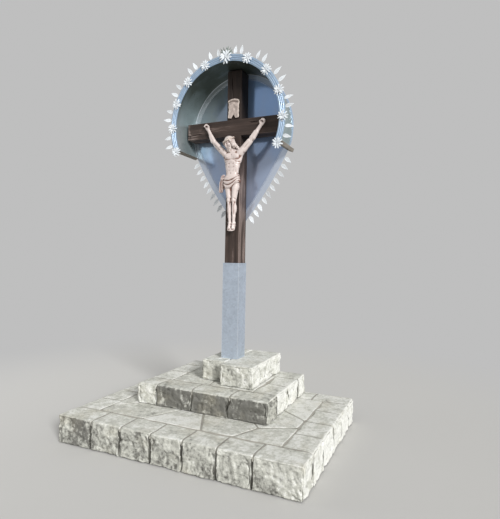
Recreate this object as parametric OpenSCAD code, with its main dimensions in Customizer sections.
// Wayside shrine: a timber cross under a sheet-metal hood, on stepped stonework.
// Millimetres. Z is up, the front faces -Y, and the post's axis is at x = y = 0.
// Z = 0 is the lowest ground that the stonework reaches.

/* [Lower step] */
// Width of the lower step
lower_w = 2040; // [1800:10:2400]
// Distance from the post's axis to the front of the lower step
lower_front = 1067; // [950:1:1300]
// Distance from the post's axis to the back of the lower step
lower_back = 460; // [440:1:700]
// Height of the lower step above the lowest ground
lower_h = 223; // [160:1:320]
// Width of the border stones, from their outer to their inner face
border_w = 230; // [150:5:300]
// Length of each corner stone of the front border
corner_len = 353; // [240:1:400]
// Number of border stones between the two front corner stones
front_stones = 5; // [3:1:7]
// Number of border stones along each side
side_stones = 4; // [2:1:5]
// Thickness of the paving laid between the border stones
paving_t = 70; // [40:5:120]

/* [Upper step] */
// Distance from the post's axis to the left end of the upper step
upper_left = 648; // [500:1:720]
// Distance from the post's axis to the right end of the upper step
upper_right = 574; // [500:1:720]
// Distance from the post's axis to the front of the upper step
upper_front = 557; // [480:1:700]
// Distance from the post's axis to the back of the upper step
upper_back = 420; // [400:1:435]
// Height of the upper step
upper_h = 175; // [120:1:240]
// Width of the upper step's outer stones, from their outer to their inner face
upper_border_w = 220; // [120:5:240]
// Length of the upper step's left front stone
upper_corner_len = 198; // [150:1:300]
// Number of the other stones in the upper step's front
upper_front_stones = 3; // [2:1:4]
// Number of stones along each side of the upper step
upper_side_stones = 2; // [1:1:3]

/* [Plinth stones] */
// Height of the two stones that carry the post
plinth_h = 180; // [120:1:260]
// Distance from the post's axis to the left end of the left plinth stone
plinth_left = 209; // [150:1:300]
// Distance from the post's axis to the right end of the right plinth stone
plinth_right = 335; // [150:1:400]
// Where the joint between the two plinth stones lies, to the right of the post's axis
plinth_joint = 24; // [-40:1:40]
// Distance from the post's axis to the front of the right plinth stone
plinth_front = 316; // [200:1:400]
// How far the left plinth stone stands back from the front of the right one
plinth_setback = 96; // [0:1:110]
// Distance from the post's axis to the back of the plinth stones
plinth_back = 387; // [200:1:395]

/* [Stonework] */
// Width of the open joints between neighbouring stones
joint_w = 8; // [3:1:15]
// Size of the chamfer on the stones' outer top edges
arris = 18; // [4:1:30]

/* [Post and beam] */
// Width of the post, side to side
post_w = 140; // [100:1:150]
// Depth of the post, front to back
post_d = 148; // [110:1:150]
// Distance from the post's axis to the front faces of post and beam
timber_front = 70; // [60:1:74]
// Height of the cross beam's underside above the lowest ground
beam_z = 2568; // [2500:1:2620]
// Height of the cross beam's section
beam_h = 148; // [100:1:160]
// Depth of the cross beam, front to back
beam_d = 140; // [100:1:145]
// Gap between each end of the cross beam and the hood's barrel
beam_gap = 21; // [14:1:90]
// How deep the beam is let into the post
housing_d = 70; // [40:1:90]

/* [Post sleeve] */
// Outer width and depth of the metal sleeve
sleeve_w = 160; // [154:1:180]
// Height of the sleeve's top above the lowest ground
sleeve_top = 1433; // [1000:1:1600]
// Thickness of the sleeve's sheet
sleeve_t = 1.5; // [1:0.1:2.5]
// Height of the hem along the sleeve's top
hem_h = 9; // [4:1:20]
// How far the hem stands out from the sleeve
hem_out = 1.2; // [0.8:0.1:3]

/* [Hood] */
// Height of the hood's centre above the lowest ground
hood_z = 2643; // [2600:1:2700]
// Inner radius of the hood's barrel, measured sideways
hood_r = 498; // [490:1:520]
// How much higher than wide the hood's curve is
hood_stretch = 1.054; // [1:0.001:1.08]
// Angle from the top to each lower end of the hood
hood_angle = 113; // [105:0.5:118]
// Distance from the post's axis to the front plane of the hood
hood_front = 244; // [200:1:300]
// Thickness of the barrel's sheet
barrel_t = 2; // [1:0.1:3]
// Width of the flat ring round the hood's front
fascia_w = 54; // [40:1:60]
// Thickness of the front ring
fascia_t = 3; // [1.5:0.1:5]
// How far the front ring stands inside the barrel
fascia_in = 2; // [0:0.5:6]
// Width of each bead on the front ring
bead_w = 6; // [3:0.5:8]
// Height of each bead on the front ring
bead_h = 4; // [2:0.5:6]
// Distance between neighbouring beads
bead_pitch = 15; // [12:0.5:17]

/* [Battens] */
// Width of the hood's battens, square to the barrel
batten_w = 44; // [30:1:46]
// Height of the battens, along the barrel's curve
batten_h = 34; // [20:1:45]
// How far the battens stand out behind the back panel
batten_tail = 28; // [10:1:60]

/* [Back panel] */
// Thickness of the back panel
panel_t = 3; // [1.5:0.1:6]
// How far the panel stands out round the barrel
panel_lip = 12; // [6:1:20]
// How far outside the barrel's lower ends the panel's sides begin to taper
shoulder_out = 3; // [1:0.5:8]
// Distance from the hood's centre down to the panel's lower point
panel_drop = 907; // [820:1:960]
// How far the panel's tapering sides bulge out
side_bulge = 26; // [15:1:50]
// Distance from the panel's edge to the outer bead
panel_bead_in = 48; // [30:1:70]
// Width of each bead on the panel
panel_bead_w = 4; // [2:0.5:6]
// Gap between the panel's two beads
panel_bead_gap = 5; // [3:0.5:12]
// Height of the panel's beads
panel_bead_h = 2.5; // [1:0.5:4]

/* [Flowers and leaves] */
// Number of flowers on each side of the hood's front, besides the top one
side_flowers = 5; // [3:1:6]
// Diameter of the flowers on the hood's front
flower_d = 96; // [70:1:110]
// Diameter of the flower at the top
crest_d = 128; // [100:1:140]
// Number of petals in each ring of a flower
petals = 9; // [7:1:12]
// Distance from the hood's centre to the flowers
flower_r = 530; // [515:1:540]
// Thickness of the flowers' and leaves' metal
leaf_t = 1.6; // [1:0.1:3]
// Length of the leaves round the hood
rim_leaf_len = 74; // [50:1:90]
// Width of the leaves round the hood
rim_leaf_w = 26; // [16:1:34]
// How far the leaves reach behind what they are fixed to
leaf_root = 9; // [5:1:14]
// Number of leaves in the spray behind the top flower
spray_leaves = 5; // [3:1:7]
// Length of the leaves in the spray
spray_len = 95; // [70:1:110]
// Width of the leaves in the spray
spray_w = 18; // [12:1:24]
// Angle between neighbouring leaves in the spray
spray_angle = 17; // [12:0.5:22]
// Number of leaves along each tapering side of the panel
panel_leaves = 10; // [6:1:11]
// Length of the leaves along the panel
panel_leaf_len = 84; // [60:1:100]
// Width of the leaves along the panel
panel_leaf_w = 28; // [18:1:34]
// Distance between neighbouring leaves along the panel
panel_leaf_pitch = 68; // [50:1:75]
// Distance from the panel's shoulder to the first leaf
panel_leaf_start = 62; // [55:1:90]

/* [Scroll] */
// Width of the scroll plate
scroll_w = 100; // [80:1:120]
// Height of the scroll plate
scroll_h = 176; // [120:1:220]
// Gap between the beam's top and the scroll plate
scroll_lift = 8; // [2:1:30]
// Thickness of the scroll plate
scroll_t = 11; // [6:1:16]
// Depth of the notch in the scroll's lower end
scroll_notch = 36; // [20:1:60]
// Radius of the roll at the scroll's upper end
scroll_roll = 10; // [6:1:14]

/* [Figure] */
// Distance from the beam's underside down to the figure's neck
neck_drop = 143; // [130:1:160]
// Length of the trunk from the neck to the waist, where the loincloth begins
trunk_len = 220; // [200:1:240]
// Height of the loincloth
cloth_h = 110; // [90:1:130]
// Length of the cloth's hanging end, from the waist down
tail_len = 154; // [120:1:180]
// Length of the thighs below the loincloth, down to the knees
thigh_len = 119; // [100:1:140]
// Length of the shins, from the knees to the ankles
shin_len = 197; // [180:1:215]
// Length of the feet, from the ankles to the toes
foot_len = 67; // [55:1:80]
// Where the middle of the figure lies, to the right of the post's axis
figure_x = 12; // [0:1:20]
// Distance from the timber's front to the middle of the figure's trunk
figure_y = 40; // [36:1:46]
// Half the width of the figure's chest
chest_half = 80; // [70:1:90]
// Radius of the figure's head
head_r = 56; // [48:1:60]
// How far the head leans to the viewer's left of the figure's middle
head_lean = 37; // [20:1:45]
// How far the knees stand in front of the hips
knee_out = 12; // [4:1:20]
// How far the hands reach to each side of the figure's middle
hand_reach = 279; // [250:1:300]
// Height of the hands above the beam's underside
hand_rise = 101; // [85:1:115]
// Diameter of the nails' shanks
nail_d = 5; // [3:0.5:7]
// Diameter of the nails' heads
nail_head_d = 11; // [8:0.5:14]

/* [Fits] */
// Clearance where curved or separately made pieces meet
fit_gap = 0.3; // [0.2:0.05:0.5]
// Clearance round a piece that passes through the back panel
notch_gap = 1; // [0.5:0.1:2]

/* [Hidden] */

// Levels of the stonework
upper_z = lower_h;
plinth_z = upper_z + upper_h;
post_z = plinth_z + plinth_h;

// Half the length of the cross beam
beam_half = hood_r - beam_gap;

// Planes of the timber and of the hood, counted along Y
front_y = -timber_front;
post_back_y = post_d - timber_front;
ring_y = -hood_front;
ring_back_y = ring_y + fascia_t;
panel_y = post_back_y;
panel_back_y = panel_y + panel_t;

// Radii of the hood
barrel_out = hood_r + barrel_t;
ring_in = hood_r - fascia_in;
ring_out = ring_in + fascia_w;
ring_mid = (ring_in + ring_out) / 2;
arch_steps = 64;
leaf_base_r = ring_out - leaf_root;

// Where the post's top corners meet the barrel
post_top = hood_z + hood_stretch * sqrt(pow(hood_r, 2) - pow(post_w / 2, 2)) - fit_gap;

// The big circles that draw the panel's tapering sides
panel_tip_z = hood_z - panel_drop;
shoulder = arch(barrel_out + shoulder_out, hood_angle);
shoulder_z = hood_z + shoulder[1];
side_run = shoulder[0];
side_fall = shoulder_z - panel_tip_z;
side_chord = sqrt(pow(side_run, 2) + pow(side_fall, 2));
side_r = pow(side_chord, 2) / (8 * side_bulge) + side_bulge / 2;
side_cx = side_run / 2 - side_fall / side_chord * (side_r - side_bulge);
side_cz = (shoulder_z + panel_tip_z) / 2 + side_run / side_chord * (side_r - side_bulge);
side_angle = asin((side_cz - shoulder_z) / side_r);
side_facets = 900;

// How far the panel's round top is drawn on past the barrel's lower ends
arch_extra = 40;
arch_join_z = shoulder_z - 45;

// Flowers round the ring
flower_step = hood_angle / side_flowers;
flower_y = ring_y - bead_h;
heart_share = 0.3;
front_ring_share = 0.72;
petal_root_share = 0.16;
leaf_places = [0.36, 0.68];

// Levels of the figure, all hung from the beam
neck_z = beam_z - neck_drop;
waist_z = neck_z - trunk_len;
cloth_z = waist_z - cloth_h;
knee_z = cloth_z - thigh_len;
ankle_z = knee_z - shin_len;
toe_z = ankle_z - foot_len;

// The figure's thicknesses as shares of its chest, and the planes where arms meet trunk
thigh_r = 0.45 * chest_half;
knee_r = 0.3 * chest_half;
ankle_r = 0.2 * chest_half;
toe_r = 0.175 * chest_half;
shoulder_r = 0.325 * chest_half;
arm_r = 0.26 * chest_half;
wrist_r = 0.165 * chest_half;
leg_gap = 0.575 * chest_half;
cut_left = figure_x - 0.9 * chest_half;
cut_right = figure_x + 0.95 * chest_half;

// The figure's main points, as [x, y, z, radius]
body_y = front_y - figure_y;
arm_y = front_y - 26;
wrist_y = front_y - 17;
hand_z = beam_z + hand_rise;
shoulder_left = [cut_left - 2, arm_y - 8, neck_z - 20, shoulder_r];
shoulder_right = [cut_right + 2, arm_y - 8, neck_z - 15, shoulder_r];
hand_left = [figure_x - hand_reach, wrist_y + 2, hand_z + 3, toe_r];
hand_right = [figure_x + hand_reach, wrist_y + 2, hand_z - 3, toe_r];
elbow_left = elbow(shoulder_left, hand_left, -24, -9);
elbow_right = elbow(shoulder_right, hand_right, 6, -11);
wrist_left = wrist(elbow_left, hand_left);
wrist_right = wrist(elbow_right, hand_right);
leg_left_x = figure_x + 3 - leg_gap / 2;
leg_right_x = figure_x + 3 + leg_gap / 2;
head_x = figure_x - head_lean;
head_y = body_y - 14;
head_z = neck_z + 1.32 * head_r;
crown_z = head_z + 12;
tail_x = figure_x - chest_half;
big = 2 * hood_z;

// The elbow lies halfway along the arm, moved out and up by the given amounts
function elbow(from, to, out, up) =
    [(from[0] + to[0]) / 2 + out, arm_y, (from[2] + to[2]) / 2 + up, arm_r];

// The wrist lies three quarters of the way from the elbow to the hand
function wrist(from, to) =
    [from[0] + 0.76 * (to[0] - from[0]), wrist_y, from[2] + 0.76 * (to[2] - from[2]), wrist_r];

// A point of the head or hair, given in radii of the head from its middle
function head_point(x, y, z, r) = [head_x + x * head_r, head_y + y * head_r, head_z + z * head_r, r * head_r];

// A point of the hood's curve in the plane of x and z, seen from its centre
function arch(r, a) = [r * sin(a), hood_stretch * r * cos(a)];

function arch_run(r, from, to) =
    [for (i = [0 : arch_steps]) arch(r, from + (to - from) * i / arch_steps)];

// Turns a drawing in the plane of x and z into a slab from y0 to y1
module slab(y0, y1) {
    translate([0, y1, 0]) rotate([90, 0, 0]) linear_extrude(y1 - y0) children();
}

module arch_band(r0, r1, y0, y1) {
    outline = concat(arch_run(r1, -hood_angle, hood_angle), arch_run(r0, hood_angle, -hood_angle));
    slab(y0, y1) translate([0, hood_z]) polygon(outline);
}

// A straight row of stones along +X with its chamfered outer edge towards -Y
module stone_row(len, depth, height) {
    section = [[0, 0], [depth, 0], [depth, height], [arris, height], [0, height - arris]];
    rotate([90, 0, 90]) linear_extrude(len) polygon(section);
}

// Open joints across a row, at the places given along X
module joints(places, depth, height) {
    for (x = places)
        translate([x - joint_w / 2, -1, -1]) cube([joint_w, depth + 2, height + 2]);
}

function even_joints(from, to, count) = [for (i = [1 : count - 1]) from + (to - from) * i / count];

// Stonework

module lower_front_stones() {
    inner = lower_w - 2 * corner_len;
    ends = [corner_len, lower_w - corner_len];
    places = concat(ends, even_joints(corner_len, corner_len + inner, front_stones));
    color([0.64, 0.61, 0.55])
    translate([-lower_w / 2, -lower_front, 0]) difference() {
        stone_row(lower_w, border_w, lower_h);
        joints(places, border_w, lower_h);
    }
}

module lower_side(side) {
    len = lower_front + lower_back - 2 * border_w;
    places = concat([joint_w / 2, len - joint_w / 2], even_joints(0, len, side_stones));
    mirror([side > 0 ? 1 : 0, 0, 0])
    translate([-lower_w / 2, lower_back - border_w, 0]) rotate([0, 0, -90]) difference() {
        stone_row(len, border_w, lower_h);
        joints(places, border_w, lower_h);
    }
}

module lower_left_stones() { color([0.62, 0.59, 0.53]) lower_side(-1); }

module lower_right_stones() { color([0.66, 0.63, 0.56]) lower_side(1); }

module lower_back_stones() {
    places = even_joints(0, lower_w, front_stones + 1);
    color([0.6, 0.57, 0.52])
    mirror([0, 1, 0]) translate([-lower_w / 2, -lower_back, 0]) difference() {
        stone_row(lower_w, border_w, lower_h);
        joints(places, border_w, lower_h);
    }
}

module lower_fill(z0, z1) {
    w = lower_w - 2 * border_w;
    d = lower_front + lower_back - 2 * border_w;
    translate([-w / 2, border_w - lower_front, z0]) cube([w, d, z1 - z0]);
}

module lower_bed() { color([0.5, 0.47, 0.42]) lower_fill(0, lower_h - paving_t); }

module lower_paving() { color([0.7, 0.67, 0.6]) lower_fill(lower_h - paving_t, lower_h); }

module upper_front_stones() {
    len = upper_left + upper_right;
    places = concat([upper_corner_len], even_joints(upper_corner_len, len, upper_front_stones));
    color([0.63, 0.6, 0.54])
    translate([-upper_left, -upper_front, upper_z]) difference() {
        stone_row(len, upper_border_w, upper_h);
        joints(places, upper_border_w, upper_h);
    }
}

module upper_side(side, reach) {
    len = upper_front + upper_back - 2 * upper_border_w;
    places = concat([joint_w / 2, len - joint_w / 2], even_joints(0, len, upper_side_stones));
    mirror([side > 0 ? 1 : 0, 0, 0])
    translate([-reach, upper_back - upper_border_w, upper_z]) rotate([0, 0, -90]) difference() {
        stone_row(len, upper_border_w, upper_h);
        joints(places, upper_border_w, upper_h);
    }
}

module upper_left_stones() { color([0.61, 0.58, 0.53]) upper_side(-1, upper_left); }

module upper_right_stones() { color([0.66, 0.63, 0.57]) upper_side(1, upper_right); }

module upper_back_stones() {
    len = upper_left + upper_right;
    color([0.6, 0.57, 0.52])
    mirror([0, 1, 0]) translate([-upper_left, -upper_back, upper_z]) difference() {
        stone_row(len, upper_border_w, upper_h);
        joints(even_joints(0, len, upper_front_stones), upper_border_w, upper_h);
    }
}

module upper_bed() {
    w = upper_left + upper_right - 2 * upper_border_w;
    d = upper_front + upper_back - 2 * upper_border_w;
    color([0.66, 0.63, 0.57])
    translate([upper_border_w - upper_left, upper_border_w - upper_front, upper_z])
        cube([w, d, upper_h]);
}

module plinth_stone(x0, x1, y0) {
    translate([x0, y0, plinth_z]) stone_row(x1 - x0, plinth_back - y0, plinth_h);
}

module plinth_stone_left() {
    color([0.6, 0.58, 0.54])
        plinth_stone(-plinth_left, plinth_joint - joint_w / 2, plinth_setback - plinth_front);
}

module plinth_stone_right() {
    color([0.65, 0.63, 0.58])
        plinth_stone(plinth_joint + joint_w / 2, plinth_right, -plinth_front);
}

// Post, beam and sleeve

module box_ring(outer, inner, z0, z1) {
    translate([0, 0, z0]) linear_extrude(z1 - z0) difference() {
        square(outer, center = true);
        square(inner, center = true);
    }
}

module post_sleeve() {
    color([0.67, 0.72, 0.8])
        box_ring(sleeve_w, sleeve_w - 2 * sleeve_t, post_z, sleeve_top);
}

module sleeve_hem() {
    color([0.78, 0.82, 0.88])
        box_ring(sleeve_w + 2 * hem_out, sleeve_w, sleeve_top - hem_h, sleeve_top);
}

module beam_bar() {
    translate([-beam_half, front_y, beam_z]) cube([2 * beam_half, beam_d, beam_h]);
}

module post() {
    color([0.29, 0.22, 0.19]) difference() {
        translate([-post_w / 2, front_y, post_z]) cube([post_w, post_d, post_top - post_z]);
        translate([-post_w, front_y - 1, beam_z]) cube([2 * post_w, housing_d + 1, beam_h]);
    }
}

module cross_beam() {
    color([0.31, 0.23, 0.2]) difference() {
        beam_bar();
        translate([-post_w / 2, front_y + housing_d, beam_z - 1]) cube([post_w, beam_d, beam_h + 2]);
    }
}

module scroll_plate() {
    z0 = beam_z + beam_h + scroll_lift;
    half = scroll_w / 2;
    outline = [
        [-half, 0], [-half * 0.45, 0], [0, scroll_notch], [half * 0.45, 0], [half, 0],
        [half, scroll_h - scroll_roll], [-half, scroll_h - scroll_roll]
    ];
    color([0.72, 0.6, 0.46]) {
        slab(front_y - scroll_t, front_y) translate([0, z0]) polygon(outline);
        translate([-half, front_y - scroll_roll, z0 + scroll_h - scroll_roll]) rotate([0, 90, 0])
            cylinder(h = scroll_w, r = scroll_roll);
    }
}

// Hood

module hood_barrel() {
    color([0.55, 0.6, 0.66]) arch_band(hood_r, barrel_out, ring_back_y, panel_y);
}

module hood_front_ring() {
    color([0.76, 0.82, 0.92]) {
        arch_band(ring_in, ring_out, ring_y, ring_back_y);
        for (k = [-1 : 1])
            arch_band(ring_mid + k * bead_pitch - bead_w / 2, ring_mid + k * bead_pitch + bead_w / 2,
                ring_y - bead_h, ring_back_y);
    }
}

// Section of the right batten, laid against the outside of the barrel's lower end
module batten_section(gap) {
    tilt = atan2(cos(hood_angle), hood_stretch * sin(hood_angle));
    translate([0, hood_z]) translate(arch(barrel_out, hood_angle)) rotate(tilt)
        translate([fit_gap - gap, -gap]) square([batten_w + 2 * gap, batten_h + 2 * gap]);
}

module batten() { slab(ring_back_y, panel_back_y + batten_tail) batten_section(0); }

module batten_left() { color([0.46, 0.39, 0.31]) mirror([1, 0, 0]) batten(); }

module batten_right() { color([0.48, 0.41, 0.32]) batten(); }

// Outline of the panel, drawn in by the given distance
module panel_outline(inset) {
    r = hood_r + barrel_t + panel_lip - inset;
    circle_r = side_r - inset;
    intersection() {
        translate([side_cx, side_cz]) circle(circle_r, $fn = side_facets);
        translate([-side_cx, side_cz]) circle(circle_r, $fn = side_facets);
        union() {
            translate([0, hood_z]) polygon(arch_run(r, -hood_angle - arch_extra, hood_angle + arch_extra));
            translate([-lower_w / 2, 0]) square([lower_w, arch_join_z]);
        }
    }
}

module back_panel() {
    color([0.5, 0.6, 0.78]) slab(panel_y, panel_back_y) difference() {
        panel_outline(0);
        batten_section(notch_gap);
        mirror([1, 0]) batten_section(notch_gap);
    }
}

module panel_beads() {
    second = panel_bead_in + panel_bead_w + panel_bead_gap;
    color([0.72, 0.8, 0.92]) slab(panel_y - panel_bead_h, panel_y) difference() {
        union() for (inset = [panel_bead_in, second]) difference() {
            panel_outline(inset);
            panel_outline(inset + panel_bead_w);
        }
        translate([-post_w / 2 - notch_gap, 0]) square([post_w + 2 * notch_gap, big]);
    }
}

// Flowers and leaves

// A pointed leaf that stands on its root and points along +Y
module leaf_shape(len, w) {
    r = (pow(len, 2) + pow(w, 2)) / (4 * w);
    intersection() {
        translate([r - w / 2, len / 2]) circle(r, $fn = 96);
        translate([w / 2 - r, len / 2]) circle(r, $fn = 96);
    }
}

module rim_leaves(side) {
    slab(ring_back_y, ring_back_y + leaf_t) translate([0, hood_z])
    for (i = [0 : side_flowers - 1], share = leaf_places) {
        a = side * (i + share) * flower_step;
        translate(arch(leaf_base_r, a)) rotate(-a) leaf_shape(rim_leaf_len, rim_leaf_w);
    }
}

module rim_leaves_left() { color([0.8, 0.85, 0.92]) rim_leaves(-1); }

module rim_leaves_right() { color([0.8, 0.85, 0.92]) rim_leaves(1); }

module crest_spray() {
    color([0.66, 0.7, 0.7])
    slab(ring_back_y, ring_back_y + leaf_t) translate([0, hood_z])
    for (i = [0 : spray_leaves - 1]) {
        a = (i - (spray_leaves - 1) / 2) * spray_angle;
        translate([0, arch(leaf_base_r, 0)[1]]) rotate(-a)
            translate([0, -leaf_root]) leaf_shape(spray_len, spray_w);
    }
}

// A ring of narrow petals, as one closed outline
module rosette(d, count) {
    steps = 8;
    inner = d * petal_root_share;
    outer = d / 2;
    polygon([for (i = [0 : count * steps - 1])
        let (a = i * 360 / (count * steps), lobe = abs(cos(a * count / 2)))
        (inner + (outer - inner) * pow(lobe, 0.7)) * [sin(a), cos(a)]]);
}

// A flower of two rings of petals and a round heart, on the front of the ring
module flower(d, a) {
    place = arch(flower_r, a);
    slab(flower_y - leaf_t, flower_y) translate([0, hood_z]) translate(place)
        rosette(d, petals);
    slab(flower_y - 3 * leaf_t, flower_y - leaf_t) translate([0, hood_z]) translate(place)
        rotate(180 / petals) rosette(d * front_ring_share, petals);
    slab(flower_y - 6 * leaf_t, flower_y) translate([0, hood_z]) translate(place)
        circle(d * heart_share / 2, $fn = 48);
}

module rim_flowers(side) {
    for (i = [1 : side_flowers]) flower(flower_d, side * i * flower_step);
}

module rim_flowers_left() { color([0.88, 0.9, 0.95]) rim_flowers(-1); }

module rim_flowers_right() { color([0.88, 0.9, 0.95]) rim_flowers(1); }

module crest_flower() { color([0.86, 0.88, 0.94]) flower(crest_d, 0); }

module panel_leaf_row() {
    slab(panel_back_y, panel_back_y + leaf_t)
    for (i = [0 : panel_leaves - 1]) {
        along = panel_leaf_start + i * panel_leaf_pitch;
        a = side_angle + along / side_r * 180 / PI;
        foot = side_r - leaf_root;
        translate([side_cx + foot * cos(a), side_cz - foot * sin(a)]) rotate(-90 - a)
            leaf_shape(panel_leaf_len, panel_leaf_w);
    }
}

module panel_leaves_left() { color([0.8, 0.83, 0.86]) mirror([1, 0, 0]) panel_leaf_row(); }

module panel_leaves_right() { color([0.8, 0.83, 0.86]) panel_leaf_row(); }

// Figure

module ball(p) { translate([p[0], p[1], p[2]]) sphere(p[3], $fn = 18); }

// A rounded limb through points of [x, y, z, radius]
module limb(points) {
    for (i = [0 : len(points) - 2]) hull() {
        ball(points[i]);
        ball(points[i + 1]);
    }
}

module oval_disc(s) {
    translate([s[1], s[2], s[0]]) scale([s[3], s[4], 1]) cylinder(h = 0.5, r = 1, $fn = 28);
}

// A trunk through level ovals of [z, x, y, half width, half depth]
module oval_stack(ovals) {
    for (i = [0 : len(ovals) - 2]) hull() {
        oval_disc(ovals[i]);
        oval_disc(ovals[i + 1]);
    }
}

// Keeps what lies in front of the timber, between two heights
module before_timber(z0, z1) {
    intersection() {
        children();
        translate([-big / 2, front_y - big, z0]) cube([big, big, z1 - z0]);
    }
}

module head_shape(grow) {
    share = grow / head_r;
    limb([
        head_point(0.04, 0.14, 0.25, 0.93 + share),
        head_point(0, -0.07, -0.14, 0.79 + share),
        head_point(-0.04, -0.29, -0.71, 0.39 + share)
    ]);
}

module hair() {
    limb([
        head_point(-0.61, 0.25, 0.11, 0.32),
        head_point(-0.54, 0.18, -0.71, 0.27),
        head_point(-0.43, 0.11, -1.29, 0.16)
    ]);
    limb([
        head_point(0.61, 0.25, 0.11, 0.36),
        head_point(0.75, 0.14, -0.79, 0.3),
        head_point(0.82, 0.07, -1.5, 0.18)
    ]);
}

module figure_trunk() {
    color([0.8, 0.66, 0.56]) before_timber(waist_z, hood_z) intersection() {
        union() {
            head_shape(0);
            hair();
            limb([
                head_point(0.14, 0.21, -0.61, 0.48),
                [figure_x - 4, body_y, neck_z - 30, 0.4 * chest_half]
            ]);
            oval_stack([
                [neck_z - 2, figure_x, body_y + 6, chest_half - 26, 24],
                [neck_z - 0.11 * trunk_len, figure_x + 1, body_y, chest_half + 6, 34],
                [neck_z - 0.32 * trunk_len, figure_x, body_y - 4, chest_half, 44],
                [neck_z - 0.55 * trunk_len, figure_x - 2, body_y - 2, chest_half - 8, 41],
                [neck_z - 0.83 * trunk_len, figure_x - 6, body_y + 3, chest_half - 18, 35],
                [waist_z - 1, figure_x - 7, body_y + 1, chest_half - 12, 38]
            ]);
        }
        translate([cut_left, -big / 2, 0]) cube([cut_right - cut_left, big, big]);
    }
}

module loincloth() {
    color([0.82, 0.7, 0.6]) before_timber(cloth_z, waist_z) intersection() {
        oval_stack([
            [waist_z, figure_x - 7, body_y, chest_half - 4, 41],
            [waist_z - 0.27 * cloth_h, figure_x - 6, body_y - 3, chest_half + 2, 46],
            [waist_z - 0.64 * cloth_h, figure_x - 5, body_y - 4, chest_half, 46],
            [cloth_z - 1, figure_x - 2, body_y - 3, chest_half - 8, 42]
        ]);
        translate([tail_x, -big / 2, 0]) cube([big, big, big]);
    }
}

module cloth_tail() {
    color([0.8, 0.68, 0.58]) before_timber(0, big) intersection() {
        limb([
            [tail_x + 2, body_y, waist_z - 16, 17],
            [tail_x - 10, body_y - 2, waist_z - 30, 16],
            [tail_x - 15, body_y + 2, waist_z - tail_len / 2, 13],
            [tail_x - 20, body_y + 6, waist_z - tail_len + 8, 8]
        ]);
        translate([tail_x - big, -big / 2, 0]) cube([big, big, big]);
    }
}

module leg(x, lean) {
    limb([
        [x + lean * thigh_r / 3, body_y - 2, cloth_z + 10, thigh_r],
        [x + lean * thigh_r / 7, body_y - 0.7 * knee_out, (cloth_z + knee_z) / 2, 0.86 * thigh_r],
        [x, body_y - knee_out, knee_z, knee_r],
        [x, body_y - 2, ankle_z + 0.65 * shin_len, knee_r],
        [x - lean * 0.38 * ankle_r, body_y + 2, ankle_z, ankle_r],
        [x - lean * 0.3 * ankle_r, body_y - 6, toe_z + toe_r, toe_r]
    ]);
}

module foot_bores() {
    for (x = [leg_left_x + 5, leg_right_x - 5])
        nail_place(x, (ankle_z + toe_z) / 2) cylinder(h = big, r = nail_d / 2 + fit_gap, $fn = 24);
}

module figure_legs() {
    color([0.79, 0.64, 0.54]) before_timber(0, cloth_z) difference() {
        union() {
            leg(leg_left_x, -1);
            leg(leg_right_x, 1);
        }
        foot_bores();
    }
}

// Turns +Z into -Y and starts on the timber's front
module nail_place(x, z) { translate([x, front_y, z]) rotate([90, 0, 0]) children(); }

module hand_bore(p) {
    nail_place(p[0], p[2]) translate([0, 0, -1]) cylinder(h = big, r = nail_d / 2 + fit_gap, $fn = 24);
}

module arm(points, side, cut) {
    before_timber(0, big) difference() {
        limb(points);
        hand_bore(points[3]);
        translate([side > 0 ? cut - big : cut, -big / 2, 0]) cube([big, big, big]);
    }
}

module figure_arm_left() {
    color([0.8, 0.66, 0.56])
        arm([shoulder_left, elbow_left, wrist_left, hand_left], -1, cut_left);
}

module figure_arm_right() {
    color([0.8, 0.66, 0.56])
        arm([shoulder_right, elbow_right, wrist_right, hand_right], 1, cut_right);
}

module thorn_crown() {
    color([0.45, 0.33, 0.25]) before_timber(0, big) difference() {
        translate([head_x + 1, head_y + 5, crown_z]) rotate([-12, 0, 0])
            rotate_extrude() translate([head_r - 3, 0]) circle(6, $fn = 24);
        head_shape(fit_gap);
        hair();
    }
}

module nail(reach) {
    cylinder(h = reach, r = nail_d / 2, $fn = 24);
    translate([0, 0, reach]) cylinder(h = 3, r = nail_head_d / 2, $fn = 24);
}

module hand_nails() {
    color([0.3, 0.27, 0.25]) for (p = [hand_left, hand_right])
        nail_place(p[0], p[2]) nail(front_y - p[1] + p[3] + fit_gap);
}

module foot_nails() {
    reach = figure_y + 6 + toe_r + fit_gap;
    color([0.3, 0.27, 0.25]) for (x = [leg_left_x + 5, leg_right_x - 5])
        nail_place(x, (ankle_z + toe_z) / 2) nail(reach);
}

lower_front_stones();
lower_left_stones();
lower_right_stones();
lower_back_stones();
lower_bed();
lower_paving();
upper_front_stones();
upper_left_stones();
upper_right_stones();
upper_back_stones();
upper_bed();
plinth_stone_left();
plinth_stone_right();
post_sleeve();
sleeve_hem();
post();
cross_beam();
hood_barrel();
hood_front_ring();
batten_left();
batten_right();
back_panel();
panel_beads();
panel_leaves_left();
panel_leaves_right();
rim_leaves_left();
rim_leaves_right();
rim_flowers_left();
rim_flowers_right();
crest_flower();
crest_spray();
scroll_plate();
figure_trunk();
figure_legs();
figure_arm_left();
figure_arm_right();
loincloth();
cloth_tail();
thorn_crown();
hand_nails();
foot_nails();
